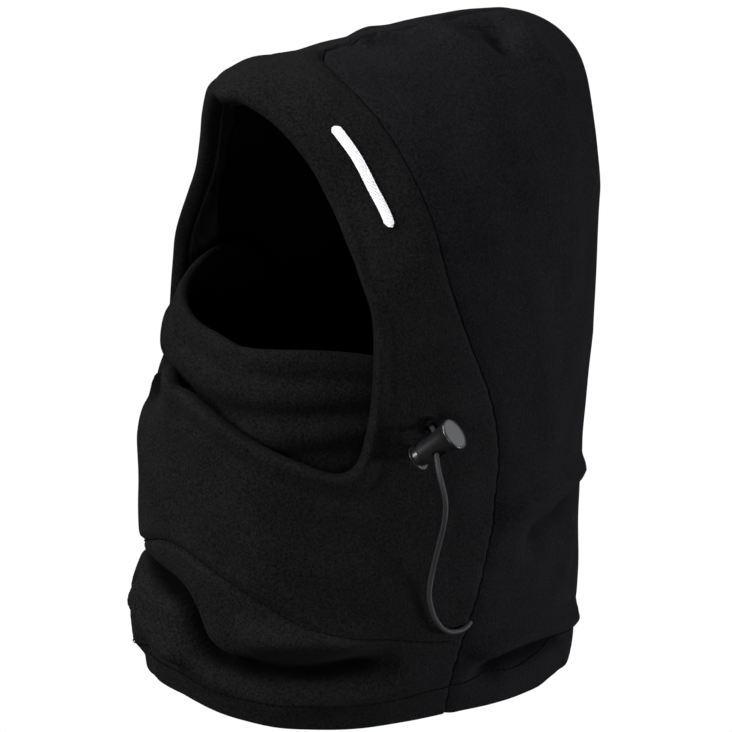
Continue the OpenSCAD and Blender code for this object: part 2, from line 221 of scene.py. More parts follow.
# The folds that also bend the rim of the face opening.
RIM_FOLDS = []


def fold(points, rise, width, folds=FOLDS):
    line = along([hood(a, v) for a, v in points], np.linspace(0, 1, 6 * len(points)))
    folds.append((line, rise, width))


def distance_to(line, p):
    """Distance from the points p to a line, and how far along it the nearest place is, from 0 to 1."""
    best = np.full(len(p), 1e9)
    place = np.zeros(len(p))
    for i in range(len(line) - 1):
        a, d = line[i], line[i + 1] - line[i]
        t = np.clip(((p - a) @ d) / max(d @ d, 1e-9), 0, 1)
        far = np.linalg.norm(p - a - t[:, None] * d, axis=1)
        nearer = far < best
        best[nearer] = far[nearer]
        place[nearer] = (i + t[nearer]) / (len(line) - 1)
    return best, place


def raised(p, folds):
    """How far a list of folds pushes the cloth out at the points p, in mm."""
    q = p.reshape(-1, 3)
    total = np.zeros(len(q))
    for line, rise, width in folds:
        middle = line.mean(0)
        near = np.linalg.norm(q - middle, axis=1) < np.linalg.norm(line - middle, axis=1).max() + 4 * width
        far, place = distance_to(line, q[near])
        fade = smooth(np.minimum(place, 1 - place) / 0.3 + 0.15)
        total[near] += rise * np.exp(-((far / width) ** 2)) * fade
    return total.reshape(p.shape[:-1])


def relief(p):
    """The folds and the slight unevenness of the cloth at the points p, in mm."""
    x, y, z = np.moveaxis(p, -1, 0)
    uneven = 0.9 * np.sin(x / 23 + 1.7 * np.sin(z / 41)) * np.sin(z / 37 + y / 53)
    uneven = uneven + 0.45 * np.sin(x / 9 + z / 13 + 2 * np.sin(y / 17)) * np.sin(y / 11 - z / 19)
    return raised(p, FOLDS) + uneven


# Crumple over the right collar bone: a deep crease and a second one nearer the far side, each with a
# roll of cloth beside it, and the hollow above the hem between two rolls.
fold([(-40, 0.2), (-24, 0.186), (-10, 0.176), (0, 0.166), (3.5, 0.148), (6, 0.122), (9, 0.102), (15, 0.088),
      (28, 0.084)], -25, 5.8)
fold([(-24, 0.152), (-12, 0.135), (-5, 0.112), (0, 0.088), (6, 0.066)], 11, 6)
fold([(-24, 0.14), (-20, 0.095), (-20, 0.05), (-15, 0.005)], -9.5, 3.8)
fold([(-33, 0.17), (-31, 0.11), (-28, 0.06), (-25, 0.02)], 5.5, 8)
fold([(16, 0.085), (26, 0.082), (38, 0.082), (52, 0.092), (66, 0.1)], -10, 8)
fold([(20, 0.142), (30, 0.14), (46, 0.142), (62, 0.13)], 6, 7)
fold([(2, 0.05), (16, 0.066), (34, 0.052), (56, 0.05), (76, 0.05)], 3, 8)
# The cloth under the chin lies closer on the far side, and its top edge leans in.
fold([(-33, 0.08), (-33, 0.2), (-33, 0.33)], -2.5, 26)
fold([(-2, 0.41), (-14, 0.42), (-24, 0.42), (-33, 0.41), (-44, 0.39), (-56, 0.38)], -11, 21, RIM_FOLDS)
fold([(-40, 0.9), (-48, 0.81), (-50, 0.71), (-50, 0.62), (-46, 0.56)], -3, 18, RIM_FOLDS)
# A long soft fold that falls from the rim across the cloth under the chin.
fold([(-8, 0.36), (12, 0.33), (30, 0.29), (48, 0.27), (66, 0.27)], -1.6, 15)
fold([(40, 0.33), (54, 0.335), (66, 0.36)], -2, 9)
# The back of the crown and the lower back lie flatter, and the hem stands out a little behind.
fold([(148, 0.58), (155, 0.66), (161, 0.73), (167, 0.77), (178, 0.79), (-168, 0.78)], -7, 20)
fold([(147, 0.42), (147, 0.33), (147, 0.2), (147, 0.09)], -3.2, 20)
fold([(150, 0.02), (140, 0.01), (128, 0.01)], 2, 14)
# Folds where the back of the neck turns in above the hem.
fold([(136, 0.094), (129, 0.084), (120, 0.086), (108, 0.1), (98, 0.098), (89, 0.09), (84, 0.078)], 8, 5.5)
fold([(140, 0.05), (129, 0.05), (114, 0.055), (101, 0.06), (94, 0.052), (84, 0.05)], -9, 6.5)
fold([(134, 0.285), (126, 0.275), (109, 0.272), (98, 0.268), (88, 0.25)], 6, 7)
fold([(134, 0.25), (123, 0.235), (110, 0.226), (98, 0.215)], -5.5, 8)
fold([(128, 0.21), (122, 0.18), (119, 0.14)], 2.5, 9)
# Drag lines over the crown and the bulge beside the centre seam.
fold([(178, 0.95), (150, 0.938), (128, 0.91), (119, 0.89), (115, 0.845), (114, 0.8)], 5.5, 6)
fold([(160, 0.93), (140, 0.885), (128, 0.86), (122, 0.81)], -6.5, 6.5)
fold([(158, 0.9), (150, 0.88), (132, 0.82), (128, 0.765), (124, 0.73)], 3.5, 7)
fold([(176, 0.985), (165, 0.97), (150, 0.972)], 3.5, 9)
fold([(100, 0.6), (104, 0.5), (108, 0.4), (112, 0.32)], 1.6, 11)
fold([(128, 0.75), (130, 0.6), (128, 0.45)], -1.6, 14)
# The same kinds of folds on the side that faces away.
fold([(-128, 0.05), (-110, 0.09), (-92, 0.1)], 4, 9)
fold([(-125, 0.03), (-108, 0.065), (-94, 0.075)], -4, 7)
fold([(-60, 0.13), (-75, 0.12), (-84, 0.1)], -4, 9)
fold([(-145, 0.26), (-120, 0.25), (-100, 0.27)], 2.5, 12)
fold([(-120, 0.9), (-112, 0.84), (-108, 0.76)], 2.5, 9)
fold([(178, 0.22), (160, 0.2), (150, 0.17)], -3, 12)
fold([(-176, 0.12), (-160, 0.14), (-145, 0.1)], 3, 11)
# The grooves that the two rows of stitches pull into the cloth.
fold([(-84, 0.105), (-50, 0.15), (-38, 0.165), (-29, 0.187), (-14, 0.215), (0, 0.23),
      (14, 0.215), (29, 0.187), (38, 0.165), (50, 0.15), (62, 0.135), (84, 0.105)], -2, 1.9)
# Dents where the drawcord pulls at its eyelets.
for side in (1, -1):
    fold([(side * 73, 0.425), (side * 73.5, 0.4), (side * 74, 0.37)], -2.2, 7)


# ---------------------------------------------------------------- meshes
MATERIALS = {}
# Painted shading: how much darker the cloth's outer face is painted at most, deep in a crease, to stand in
# for the shadow there.
PAINTED_CREASE_SHADE = 0.92
# The least gap between each back panel and the hood's middle, in mm.
MIDDLE_GAP = 0.3


def new_object(name, vertices, faces, material, uvs=None, painted_shade=None):
    mesh = bpy.data.meshes.new(name)
    mesh.from_pydata([tuple(v) for v in np.asarray(vertices) * MM], [], [tuple(f) for f in faces])
    mesh.polygons.foreach_set("use_smooth", [True] * len(mesh.polygons))
    if uvs is not None:
        layer = mesh.uv_layers.new(name="UVMap")
        loops = np.zeros(len(mesh.loops), int)
        mesh.loops.foreach_get("vertex_index", loops)
        layer.data.foreach_set("uv", np.asarray(uvs)[loops].astype(np.float32).ravel())
    # The painted shading per point, stored as a point attribute that the fleece materials read.
    if painted_shade is not None:
        layer = mesh.attributes.new("painted_shade", "FLOAT", "POINT")
        layer.data.foreach_set("value", np.asarray(painted_shade, np.float32))
    mesh.update()
    obj = bpy.data.objects.new(name, mesh)
    bpy.context.scene.collection.objects.link(obj)
    obj.data.materials.append(MATERIALS[material])
    return obj


def grid_faces(rows, columns, closed_rows, closed_columns, start=0):
    faces = []
    for i in range(rows if closed_rows else rows - 1):
        for j in range(columns if closed_columns else columns - 1):
            a, b = i * columns + j, i * columns + (j + 1) % columns
            c, d = ((i + 1) % rows) * columns + (j + 1) % columns, ((i + 1) % rows) * columns + j
            faces.append((start + a, start + b, start + c, start + d))
    return faces


def ring_object(name, loops, material, closed, painted_shade):
    """A closed skin through profiles: loops[k, j] is point k of the closed profile at column j, and the
    last argument, at [k, j], is the painted shading: 0 where the cloth has its full colour and 1 where it is
    painted nearly black to stand in for shadow."""
    rows, columns = loops.shape[:2]
    faces = grid_faces(rows, columns, True, closed)
    if not closed:
        for j, flip in ((0, False), (columns - 1, True)):
            for k in range(rows // 2 - 1):
                quad = [k * columns + j, (k + 1) * columns + j,
                        (rows - 2 - k) * columns + j, (rows - 1 - k) * columns + j]
                faces.append(tuple(quad[::-1] if flip else quad))
    return new_object(name, loops.reshape(-1, 3), faces, material, painted_shade=painted_shade.ravel())


def cloth(name, f, n_u, n_w, closed, outer, depth, material, lift=None, start_roll=None, end_roll=None,
          spacing=1.0, side=0, inside=1.0):
    """A sheet with rounded edges on the surface f: outer is its depth below f, and depth(mm from the start,
    mm to the end, w) the depth of its other face. lift(p, mm from the start, mm to the end, w) shapes both.
    A side of 1 or -1 brings its end to the hood's middle and keeps all of it on that side. The inner face
    is painted darker by the amount inside, and the outer face is painted darker deep in its creases, where
    little light gets in: both are painted shading that stands in for shadow."""
    w = np.arange(n_w) / n_w if closed else np.linspace(0, 1, n_w + 1)
    ends = np.array([[0.0], [1.0]]) * np.ones_like(w)
    rate = np.linalg.norm(frame_of(f, ends, ends * 0 + w)[1], axis=-1)
    first = (start_roll or 0) / rate[0]
    last = 1 - (end_roll or 0) / rate[1]
    t = np.linspace(0, 1, n_u + 1) ** spacing
    u = mix(first[None], last[None], t[:, None])
    columns = np.broadcast_to(w, u.shape)
    p, du, n = frame_of(f, u, columns)
    steps = np.linalg.norm(np.diff(p, axis=0), axis=-1)
    length = np.vstack([np.zeros(len(w)), np.cumsum(steps, 0)])
    from_start = length + (start_roll or 0)
    to_end = length[-1] - length + (end_roll or 0)
    rise = lift(p, from_start, to_end, columns) if lift else np.zeros_like(u)
    under = depth(from_start, to_end, columns) * np.ones_like(u)
    top = p + n * (rise - outer)[..., None]
    bottom = p + n * (rise - under)[..., None]

    def roll(i, reach, sign):
        if not reach:
            return []
        r = (under[i] - outer) / 2
        e = unit(du[i]) * sign
        return [
            top[i] + e * (reach * math.sin(angle)) - n[i] * (r * (1 - math.cos(angle)))[:, None]
            for angle in np.radians(np.arange(22.5, 180, 22.5))
        ]

    parts = [list(top), roll(-1, end_roll, 1), list(bottom[::-1]), roll(0, start_roll, -1)[::-1]]
    rows = [row for part in parts for row in part]
    # Painted shading: the inner face and the rolled edges that lead to it are painted darker by inside,
    # standing in for the shadow inside the hood.
    around = np.concatenate([np.zeros(len(top)), np.linspace(0, inside, len(parts[1])),
                             np.full(len(bottom), inside), np.linspace(inside, 0, len(parts[3]))])
    painted_shade = around[:, None] * np.ones_like(w)
    # Painted shading on the outer face: darker where the folds sink the cloth more than 2.5 mm, as the shadow
    # in a crease would be.
    painted_shade[:len(top)] = PAINTED_CREASE_SHADE * smooth((-rise - 2.5) / 7)
    points = np.stack(rows)
    if side:
        at_end = np.concatenate([to_end, np.zeros((len(parts[1]), len(w))), to_end[::-1],
                                 np.full((len(parts[3]), len(w)), 999.0)])
        gap = np.min(side * points[..., 0], axis=0) - MIDDLE_GAP
        points[..., 0] -= side * np.clip(gap, -8, 8) * (1 - smooth(at_end / 25))
        points[..., 0] = side * np.maximum(side * points[..., 0], MIDDLE_GAP)
    return ring_object(name, points, material, closed, painted_shade)


def tube(name, line, radius, material, sides=10, closed=False, flat=1.0):
    """A round tube along a line of points in mm; its texture coordinates are the length and the way round."""
    line = np.asarray(line, float)
    n = len(line)
    if closed:
        tangent = unit(np.roll(line, -1, 0) - np.roll(line, 1, 0))
    else:
        tangent = unit(np.gradient(line, axis=0))
    side = np.zeros_like(line)
    side[0] = unit(np.cross(tangent[0], (0.3, 0.2, 0.93)))
    for i in range(1, n):
        side[i] = unit(side[i - 1] - (side[i - 1] @ tangent[i]) * tangent[i])
    other = np.cross(tangent, side)
    r = np.broadcast_to(np.asarray(radius, float), (n,))[:, None]
    turn = np.arange(sides) * 2 * math.pi / sides
    rings = np.stack([line + r * (math.cos(t) * side + flat * math.sin(t) * other) for t in turn])
    length = np.concatenate([[0], np.cumsum(np.linalg.norm(np.diff(line, axis=0), axis=1))])
    way_round = turn[:, None] / (2 * math.pi)
    uvs = np.stack([np.broadcast_to(length, (sides, n)), np.broadcast_to(way_round, (sides, n))], -1)
    faces = grid_faces(sides, n, True, closed)
    points = rings.reshape(-1, 3)
    if not closed:
        faces.append(tuple(k * n for k in range(sides)))
        faces.append(tuple((sides - 1 - k) * n + n - 1 for k in range(sides)))
    return new_object(name, points, faces, material, uvs.reshape(-1, 2))


def stitches(name, line, material, length=3, gap=0.6, radius=0.34, sink=-0.25):
    """A row of single stitches along a line of surface points with their normals."""
    points, normals = line
    far = np.concatenate([[0], np.cumsum(np.linalg.norm(np.diff(points, axis=0), axis=1))])
    count = int(far[-1] // (length + gap))
    vertices, faces = [], []
    sides, rings = 6, 7
    for k in range(count):
        t = np.linspace(0, 1, rings)
        at = (k * (length + gap) + 0.5 * gap) + t * length
        p = np.stack([np.interp(at, far, points[:, i]) for i in range(3)], 1)
        n = unit(np.stack([np.interp(at, far, normals[:, i]) for i in range(3)], 1))
        p = p + n * (radius * 0.8 * np.sin(math.pi * t) - sink)[:, None]
        d = unit(np.gradient(p, axis=0))
        side = unit(np.cross(d, n))
        up = np.cross(side, d)
        r = radius * np.clip(np.sin(math.pi * (0.06 + 0.88 * t)) * 1.9, 0.15, 1)
        first = len(vertices)
        for i in range(rings):
            for j in range(sides):
                angle = 2 * math.pi * j / sides
                vertices.append(p[i] + r[i] * (math.cos(angle) * side[i] + math.sin(angle) * up[i]))
        for i in range(rings - 1):
            for j in range(sides):
                a, b = first + i * sides + j, first + i * sides + (j + 1) % sides
                faces.append((a, a + sides, b + sides, b))
        faces.append(tuple(first + j for j in range(sides)))
        faces.append(tuple(first + (rings - 1) * sides + sides - 1 - j for j in range(sides)))
    return new_object(name, vertices, faces, material)


# ---------------------------------------------------------------- materials
def node_material(name, finish):
    material = bpy.data.materials.new(name)
    material.use_nodes = True
    nodes, links = material.node_tree.nodes, material.node_tree.links
    shader = nodes["Principled BSDF"]
    coordinates = nodes.new("ShaderNodeTexCoord")
    finish(nodes, links, shader, coordinates)
    MATERIALS[name] = material
    return material


def noise(nodes, links, coordinates, scale, detail=4.0, rough=0.6, output="Object"):
    texture = nodes.new("ShaderNodeTexNoise")
    texture.inputs["Scale"].default_value = scale
    texture.inputs["Detail"].default_value = detail
    texture.inputs["Roughness"].default_value = rough
    links.new(coordinates.outputs[output], texture.inputs["Vector"])
    return texture.outputs["Fac"]


def ramp(nodes, links, fac, low, high, start=0.3, end=0.7):
    colours = nodes.new("ShaderNodeValToRGB")
    colours.color_ramp.elements[0].position = start
    colours.color_ramp.elements[0].color = (*low, 1)
    colours.color_ramp.elements[1].position = end
    colours.color_ramp.elements[1].color = (*high, 1)
    links.new(fac, colours.inputs["Fac"])
    return colours.outputs["Color"]


def maths(nodes, links, operation, *values):
    """A maths node; each value is a number or another node's output."""
    node = nodes.new("ShaderNodeMath")
    node.operation = operation
    for socket, value in zip(node.inputs, values):
        if isinstance(value, (int, float)):
            socket.default_value = value
        else:
            links.new(value, socket)
    return node.outputs[0]


def bump(nodes, links, height, distance, strength=1.0, below=None):
    node = nodes.new("ShaderNodeBump")
    node.inputs["Distance"].default_value = distance
    node.inputs["Strength"].default_value = strength
    links.new(height, node.inputs["Height"])
    if below is not None:
        links.new(below, node.inputs["Normal"])
    return node.outputs["Normal"]


def fleece_finish(low, high, sheen, pile=0.0006):
    def finish(nodes, links, shader, coordinates):
        patches = noise(nodes, links, coordinates, 45, 3, 0.5)
        pills = noise(nodes, links, coordinates, 820, 4, 0.65)
        fibres = noise(nodes, links, coordinates, 2300, 2, 0.6)
        faint = maths(nodes, links, "MULTIPLY", patches, 0.15)
        speckle = maths(nodes, links, "MULTIPLY_ADD", pills, 0.85, faint)
        # Painted shading: a point attribute mixes the speckled colour towards near black, standing in for the
        # shadow inside the hood and deep in creases.
        face = nodes.new("ShaderNodeAttribute")
        face.attribute_name = "painted_shade"
        painted_shade = nodes.new("ShaderNodeMix")
        painted_shade.data_type = "RGBA"
        links.new(face.outputs["Fac"], painted_shade.inputs["Factor"])
        links.new(ramp(nodes, links, speckle, low, high, 0.34, 0.68), painted_shade.inputs["A"])
        painted_shade.inputs["B"].default_value = (0.0006, 0.0006, 0.0006, 1)
        links.new(painted_shade.outputs["Result"], shader.inputs["Base Color"])
        shader.inputs["Roughness"].default_value = 0.95
        shader.inputs["Specular IOR Level"].default_value = 0.01
        shader.inputs["Sheen Weight"].default_value = sheen
        shader.inputs["Sheen Roughness"].default_value = 0.55
        shader.inputs["Sheen Tint"].default_value = (0.85, 0.85, 0.92, 1)
        soft = bump(nodes, links, pills, pile, 0.8)
        links.new(bump(nodes, links, fibres, pile * 0.4, 0.8, soft), shader.inputs["Normal"])
    return finish


def thread_finish(low, high):
    def finish(nodes, links, shader, coordinates):
        fine = noise(nodes, links, coordinates, 2600, 3, 0.6)
        links.new(ramp(nodes, links, fine, low, high), shader.inputs["Base Color"])
        shader.inputs["Roughness"].default_value = 0.9
        shader.inputs["Specular IOR Level"].default_value = 0.02
        links.new(bump(nodes, links, fine, 0.0002), shader.inputs["Normal"])
    return finish


def satin_finish(nodes, links, shader, coordinates):
    fine = noise(nodes, links, coordinates, 1800, 4, 0.6)
    links.new(ramp(nodes, links, fine, (0.66, 0.67, 0.7), (0.88, 0.88, 0.9)), shader.inputs["Base Color"])
    shader.inputs["Roughness"].default_value = 0.45
    shader.inputs["Sheen Weight"].default_value = 0.3
    links.new(bump(nodes, links, fine, 0.00015), shader.inputs["Normal"])


def braid_finish(nodes, links, shader, coordinates):
    """A woven sleeve: two families of slanting yarns, over and under, from the length and the way round."""
    separate = nodes.new("ShaderNodeSeparateXYZ")
    links.new(coordinates.outputs["UV"], separate.inputs[0])
    length, way_round = separate.outputs[0], separate.outputs[1]
    heights = []
    for sign in (1, -1):
        around = maths(nodes, links, "MULTIPLY", way_round, 6.0 * sign)
        slant = maths(nodes, links, "MULTIPLY_ADD", length, 1.15, around)
        heights.append(maths(nodes, links, "SINE", maths(nodes, links, "MULTIPLY", slant, 2 * math.pi)))
    weave = maths(nodes, links, "MULTIPLY_ADD", maths(nodes, links, "MULTIPLY", *heights), 0.5, 0.5)
    links.new(ramp(nodes, links, weave, (0.0068, 0.0068, 0.0075), (0.0225, 0.0225, 0.0245)),
              shader.inputs["Base Color"])
    shader.inputs["Roughness"].default_value = 0.6
    shader.inputs["Specular IOR Level"].default_value = 0.25
    links.new(bump(nodes, links, weave, 0.00012), shader.inputs["Normal"])


def plastic_finish(low, high, rough_low, rough_high):
    def finish(nodes, links, shader, coordinates):
        cloudy = noise(nodes, links, coordinates, 90, 4, 0.6)
        grain = noise(nodes, links, coordinates, 2400, 2, 0.5)
        links.new(ramp(nodes, links, cloudy, low, high), shader.inputs["Base Color"])
        rough = nodes.new("ShaderNodeMapRange")
        rough.inputs["To Min"].default_value = rough_low
        rough.inputs["To Max"].default_value = rough_high
        links.new(cloudy, rough.inputs["Value"])
        links.new(rough.outputs["Result"], shader.inputs["Roughness"])
        links.new(bump(nodes, links, grain, 0.00003, 0.5), shader.inputs["Normal"])
    return finish


def metal_finish(low, high, rough):
    def finish(nodes, links, shader, coordinates):
        worn = noise(nodes, links, coordinates, 300, 5, 0.65)
        links.new(ramp(nodes, links, worn, low, high), shader.inputs["Base Color"])
        shader.inputs["Metallic"].default_value = 1
        shader.inputs["Roughness"].default_value = rough
        links.new(bump(nodes, links, worn, 0.00003, 0.4), shader.inputs["Normal"])
    return finish


node_material("fleece", fleece_finish((0.0022, 0.0022, 0.0023), (0.0105, 0.0105, 0.011), 0.006))
node_material("fleece_back", fleece_finish((0.0021, 0.0021, 0.0024), (0.0098, 0.0096, 0.011), 0.006))
# Painted light: the lining is the same black fleece, painted about one and a half times as bright as the
# outer cloth to stand in for light reaching the facing inside the opening and the cloth seen in the seam
# gaps.
node_material("fleece_lining", fleece_finish((0.004, 0.004, 0.0042), (0.016, 0.016, 0.0168), 0.003, 0.0004))
node_material("mask_fleece", fleece_finish((0.0018, 0.0018, 0.0019), (0.0085, 0.0085, 0.009), 0.004, 0.0004))
node_material("thread", thread_finish((0.0015, 0.0015, 0.0015), (0.005, 0.005, 0.0052)))
node_material("embroidery", satin_finish)
node_material("elastic_cord", braid_finish)
node_material("lock_plastic", plastic_finish((0.003, 0.003, 0.0035), (0.007, 0.007, 0.008), 0.26, 0.36))
node_material("plunger_plastic", plastic_finish((0.002, 0.002, 0.0023), (0.005, 0.005, 0.0056), 0.26, 0.36))
node_material("eyelet_metal", metal_finish((0.003, 0.003, 0.0033), (0.007, 0.007, 0.0075), 0.7))
node_material("spring_steel", metal_finish((0.4, 0.4, 0.41), (0.62, 0.62, 0.63), 0.28))


def piece(obj, body, slot, *nodes):
    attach(obj, body)
    if nodes:
        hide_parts(*nodes)
    return obj


# ---------------------------------------------------------------- drawcord
def cord_half(side, route):
    """Half of the cord from the middle of the forehead to a side seam."""
    s = np.linspace(0, 1, 14)
    p = along(CHANNEL_LINE, s)
    e = 0.01
    angle, level = p[:, 0], p[:, 1]
    du = hood(angle + 90 * e, level) - hood(angle - 90 * e, level)
    dw = hood(angle, level - e) - hood(angle, np.minimum(level + e, 1))
    inside = hood(angle, level) - (FLEECE + CORD_D / 2 + 0.4) * unit(np.cross(dw, du))
    inside[0, 0] = 0
    hidden = along(inside * (side, 1, 1), np.linspace(0, 1, 120))
    shown = along(route, np.linspace(0, 1, 190))
    return np.vstack([hidden[:-2], shown])


cord_line = np.vstack([cord_half(-1, RIGHT_CORD_ROUTE)[:0:-1], cord_half(1, LEFT_CORD_ROUTE)])
spacing = np.concatenate([[0], np.cumsum(np.linalg.norm(np.diff(cord_line, axis=0), axis=1))])
even = np.linspace(0, spacing[-1], int(spacing[-1] / 1.0))
cord_line = np.stack([np.interp(even, spacing, cord_line[:, i]) for i in range(3)], 1)
for _ in range(2):
    cord_line[1:-1] = 0.5 * cord_line[1:-1] + 0.25 * (cord_line[:-2] + cord_line[2:])
sleeve = tube("drawcord_sleeve", cord_line, CORD_D / 2, "elastic_cord", 14)
drawcord = piece(sleeve, "hood", "elastic_cord", "drawcord")

# ---------------------------------------------------------------- cloth
LIP = 2 * FLEECE + CHANNEL


def seam_groove(p, far, deep=1.2, width=3.0):
    """The dip beside a sewn seam with the small puckers that the thread pulls."""
    along_z = p[..., 2] + 0.6 * p[..., 1]
    pucker = np.sin(along_z / 1.35 + 1.6 * np.sin(along_z / 9)) * 0.35 * np.exp(-((far / 6) ** 2))
    return pucker - deep * np.exp(-((far / width) ** 2))


def front_lift(p, from_rim, to_edge, w):
    turn = w - np.floor(w)
    s = np.where(turn < 0.5, 2 * turn, 2 - 2 * turn)
    at_seam = smooth((CORNER_SHARE - s) / 0.01)
    band = 1.6 * smooth(from_rim / 9) * smooth(to_edge / 14) * smooth((0.42 - s) / 0.2)
    rim = 0.8 * np.exp(-(((from_rim - 5) / 4) ** 2)) - 0.7 * np.exp(-(((from_rim - 15) / 4) ** 2))
    quiet = smooth((from_rim + 4) / 20)
    return relief(p) * quiet + raised(p, RIM_FOLDS) + band + rim + seam_groove(p, to_edge) * at_seam


def front_depth(from_rim, to_edge, w):
    return mix(LIP, FLEECE, smooth((from_rim - 5) / 4)) + 0.8 * np.exp(-((to_edge / 3) ** 2))


def facing(u, w):
    turn = w - np.floor(w)
    s = 1 - np.abs(1 - 2 * turn)
    share = mix(0.78, 0.2, smooth((s - 0.42) / 0.2))
    return front(mix(0.11, share, u), w)


def facing_lift(p, from_start, to_end, w):
    gathers = 0.5 * np.sin(w * 2 * math.pi * 46 + 2 * np.sin(w * 40)) * smooth(from_start / 6)
    return relief(p) * 0.6 + raised(p, RIM_FOLDS) + gathers - 0.4


many = 1.0
front_panel = cloth("front_band_and_bib", front, int(150 * many), int(500 * many), True, 0, front_depth,
                    "fleece", front_lift, start_roll=LIP * 0.42, end_roll=0.9, spacing=1.25)
piece(front_panel, "hood", "fleece", "front_panel")
# Painted shading: the facing's inner face is painted only a tenth of the way to near black.
front_facing = cloth("opening_facing", facing, int(24 * many), int(360 * many), True, FLEECE + CHANNEL,
                     lambda a, b, w: LIP, "fleece_lining", facing_lift, start_roll=1.0, end_roll=1.0,
                     inside=0.1)
piece(front_facing, "hood", "fleece_lining", "front_facing")


def back_lift(p, from_seam, to_middle, w):
    return relief(p) + seam_groove(p, from_seam) + seam_groove(p, to_middle, 1.5, 2.4)


def back_depth(from_seam, to_middle, w):
    return FLEECE + 0.8 * np.exp(-((np.minimum(from_seam, to_middle) / 3) ** 2))


def mirror_frame(f, sign):
    """f on the left, or its mirror image on the right with the outward normal still outward."""
    if sign > 0:
        return f
    return lambda u, w: f(u, 1 - w) * (-1, 1, 1)


for sign, side in ((1, "left"), (-1, "right")):
    panel = cloth(side + "_back_cloth", mirror_frame(back, sign), int(90 * many), int(170 * many), False, 0,
                  back_depth, "fleece_back", back_lift, start_roll=0.8, end_roll=1.0, side=sign)
    piece(panel, "hood", "fleece", side + "_back_panel")


def strip_lift(p, a, b, w):
    return relief(p)


def side_strip(u, w):
    seam = along(SIDE_SEAM, mix(0.07, 0.93, w))
    return hood(seam[..., 0] + mix(-ALLOWANCE_HALF, ALLOWANCE_HALF, u), seam[..., 1])


def crown_strip(u, w):
    """The strip under the centre seam; past level 1 it runs on to the front, under the band."""
    level = mix(1.004, 0.055, w) + 0 * u
    p = hood(180, np.minimum(level, 1))
    p[..., 1] -= 1000 * np.maximum(level - 1, 0)
    p[..., 0] = p[..., 0] + mix(4, -4, u)
    return p


def hem_strip(u, w):
    return hood(180 - 360 * (w - np.floor(w)), mix(HEM_HEIGHT, 1, u) / HEIGHT)


for sign, side in ((1, "left"), (-1, "right")):
    strip = cloth(side + "_seam_allowance", mirror_frame(side_strip, sign), 6, int(160 * many), False,
                  ALLOWANCE_TOP, lambda a, b, w: ALLOWANCE_DEPTH, "fleece_lining", strip_lift, start_roll=0.8,
                  end_roll=0.8)
    piece(strip, "hood", "fleece_lining", side + "_side_seam")
strip = cloth("crown_seam_allowance", crown_strip, 6, int(160 * many), False, ALLOWANCE_TOP,
              lambda a, b, w: ALLOWANCE_DEPTH, "fleece_lining", strip_lift, start_roll=0.8, end_roll=0.8)
piece(strip, "hood", "fleece_lining", "crown_seam")
hem = cloth("turned_up_hem", hem_strip, 6, int(320 * many), True, FLEECE + 0.3,
            lambda a, b, w: 2 * FLEECE, "fleece_lining", strip_lift, start_roll=0.9, end_roll=0.9)
piece(hem, "hood", "fleece_lining", "neck_hem")

# ---------------------------------------------------------------- face mask
MASK_AXIS = np.array([0, 20, -174.0])


def mask_top(s):
    return 21 + 24 * np.abs(s - 0.12) ** 1.4 + 4 * np.exp(-(((s + 0.4) / 0.2) ** 2))


def mask_point(s, tilt):
    turn = np.radians(mix(90, 12, np.abs(s)))
    x = np.sign(s) * 84 * np.cos(turn) ** 0.7
    reach = 125 * np.sin(turn)
    pulled_up = 14 * smooth((-s - 0.35) / 0.5) * smooth((tilt + 11) / 60)
    tilt = np.radians(tilt + pulled_up)
    return MASK_AXIS + np.stack([x, -reach * np.cos(tilt), reach * np.sin(tilt) + pulled_up], -1)


def mask(u, w):
    """The mask from its top edge (u = 0) down to the neck line (u = 1); w goes from the left to the right."""
    s = 1 - 2 * w
    foot = along(NECK_LINE, np.abs(s))
    angle = np.sign(s) * foot[..., 0]
    sewn = hood(angle, foot[..., 1] + 0 * s) * (0.935, 0.935, 1) + (0, 0.4, 0)
    middle = hood(angle, 0.27 + 0 * s) * (0.91, 0.92, 1)
    top = mask_top(s)
    low = mask_point(s, -11.0 + 0 * s)
    knots = [mask_point(s, top), mask_point(s, mix(top, -11, 0.25)), mask_point(s, mix(top, -11, 0.5)),
             mask_point(s, mix(top, -11, 0.75)), low, middle, sewn]
    k = np.stack(np.broadcast_arrays(*knots), 0)
    t = np.clip(u, 0, 1) * (len(knots) - 1)
    i = np.minimum(t.astype(int), len(knots) - 2)
    f = (t - i)[..., None]

    def pick(n):
        return np.take_along_axis(k, np.broadcast_to(n[None, ..., None], (1,) + k.shape[1:]), 0)[0]

    b, c = pick(i), pick(i + 1)
    a = np.where(i[..., None] > 0, pick(np.maximum(i - 1, 0)), 2 * b - c)
    d = np.where(i[..., None] < len(knots) - 2, pick(np.minimum(i + 2, len(knots) - 1)), 2 * c - b)
    return 0.5 * (2 * b + (c - a) * f + (2 * a - 5 * b + 4 * c - d) * f**2 + (3 * b - a - 3 * c + d) * f**3)


MASK_FOLDS = [
    ([(-0.9, 0.3), (-0.4, 0.42), (0.0, 0.46), (0.5, 0.5), (0.95, 0.5)], -2.6, 4.5),
    ([(-0.6, 0.2), (-0.1, 0.3), (0.4, 0.36), (0.9, 0.36)], 2.2, 8),
    ([(-0.5, 0.62), (0.1, 0.64), (0.6, 0.66), (0.95, 0.62)], 2.0, 8),
    ([(-0.8, 0.55), (-0.2, 0.74), (0.4, 0.8), (0.9, 0.78)], -2.4, 6),
    ([(-0.3, 0.1), (-0.22, 0.3), (-0.28, 0.5)], 1.6, 7),
    ([(0.1, 0.02), (0.22, 0.18), (0.5, 0.26)], -1.4, 6),
]


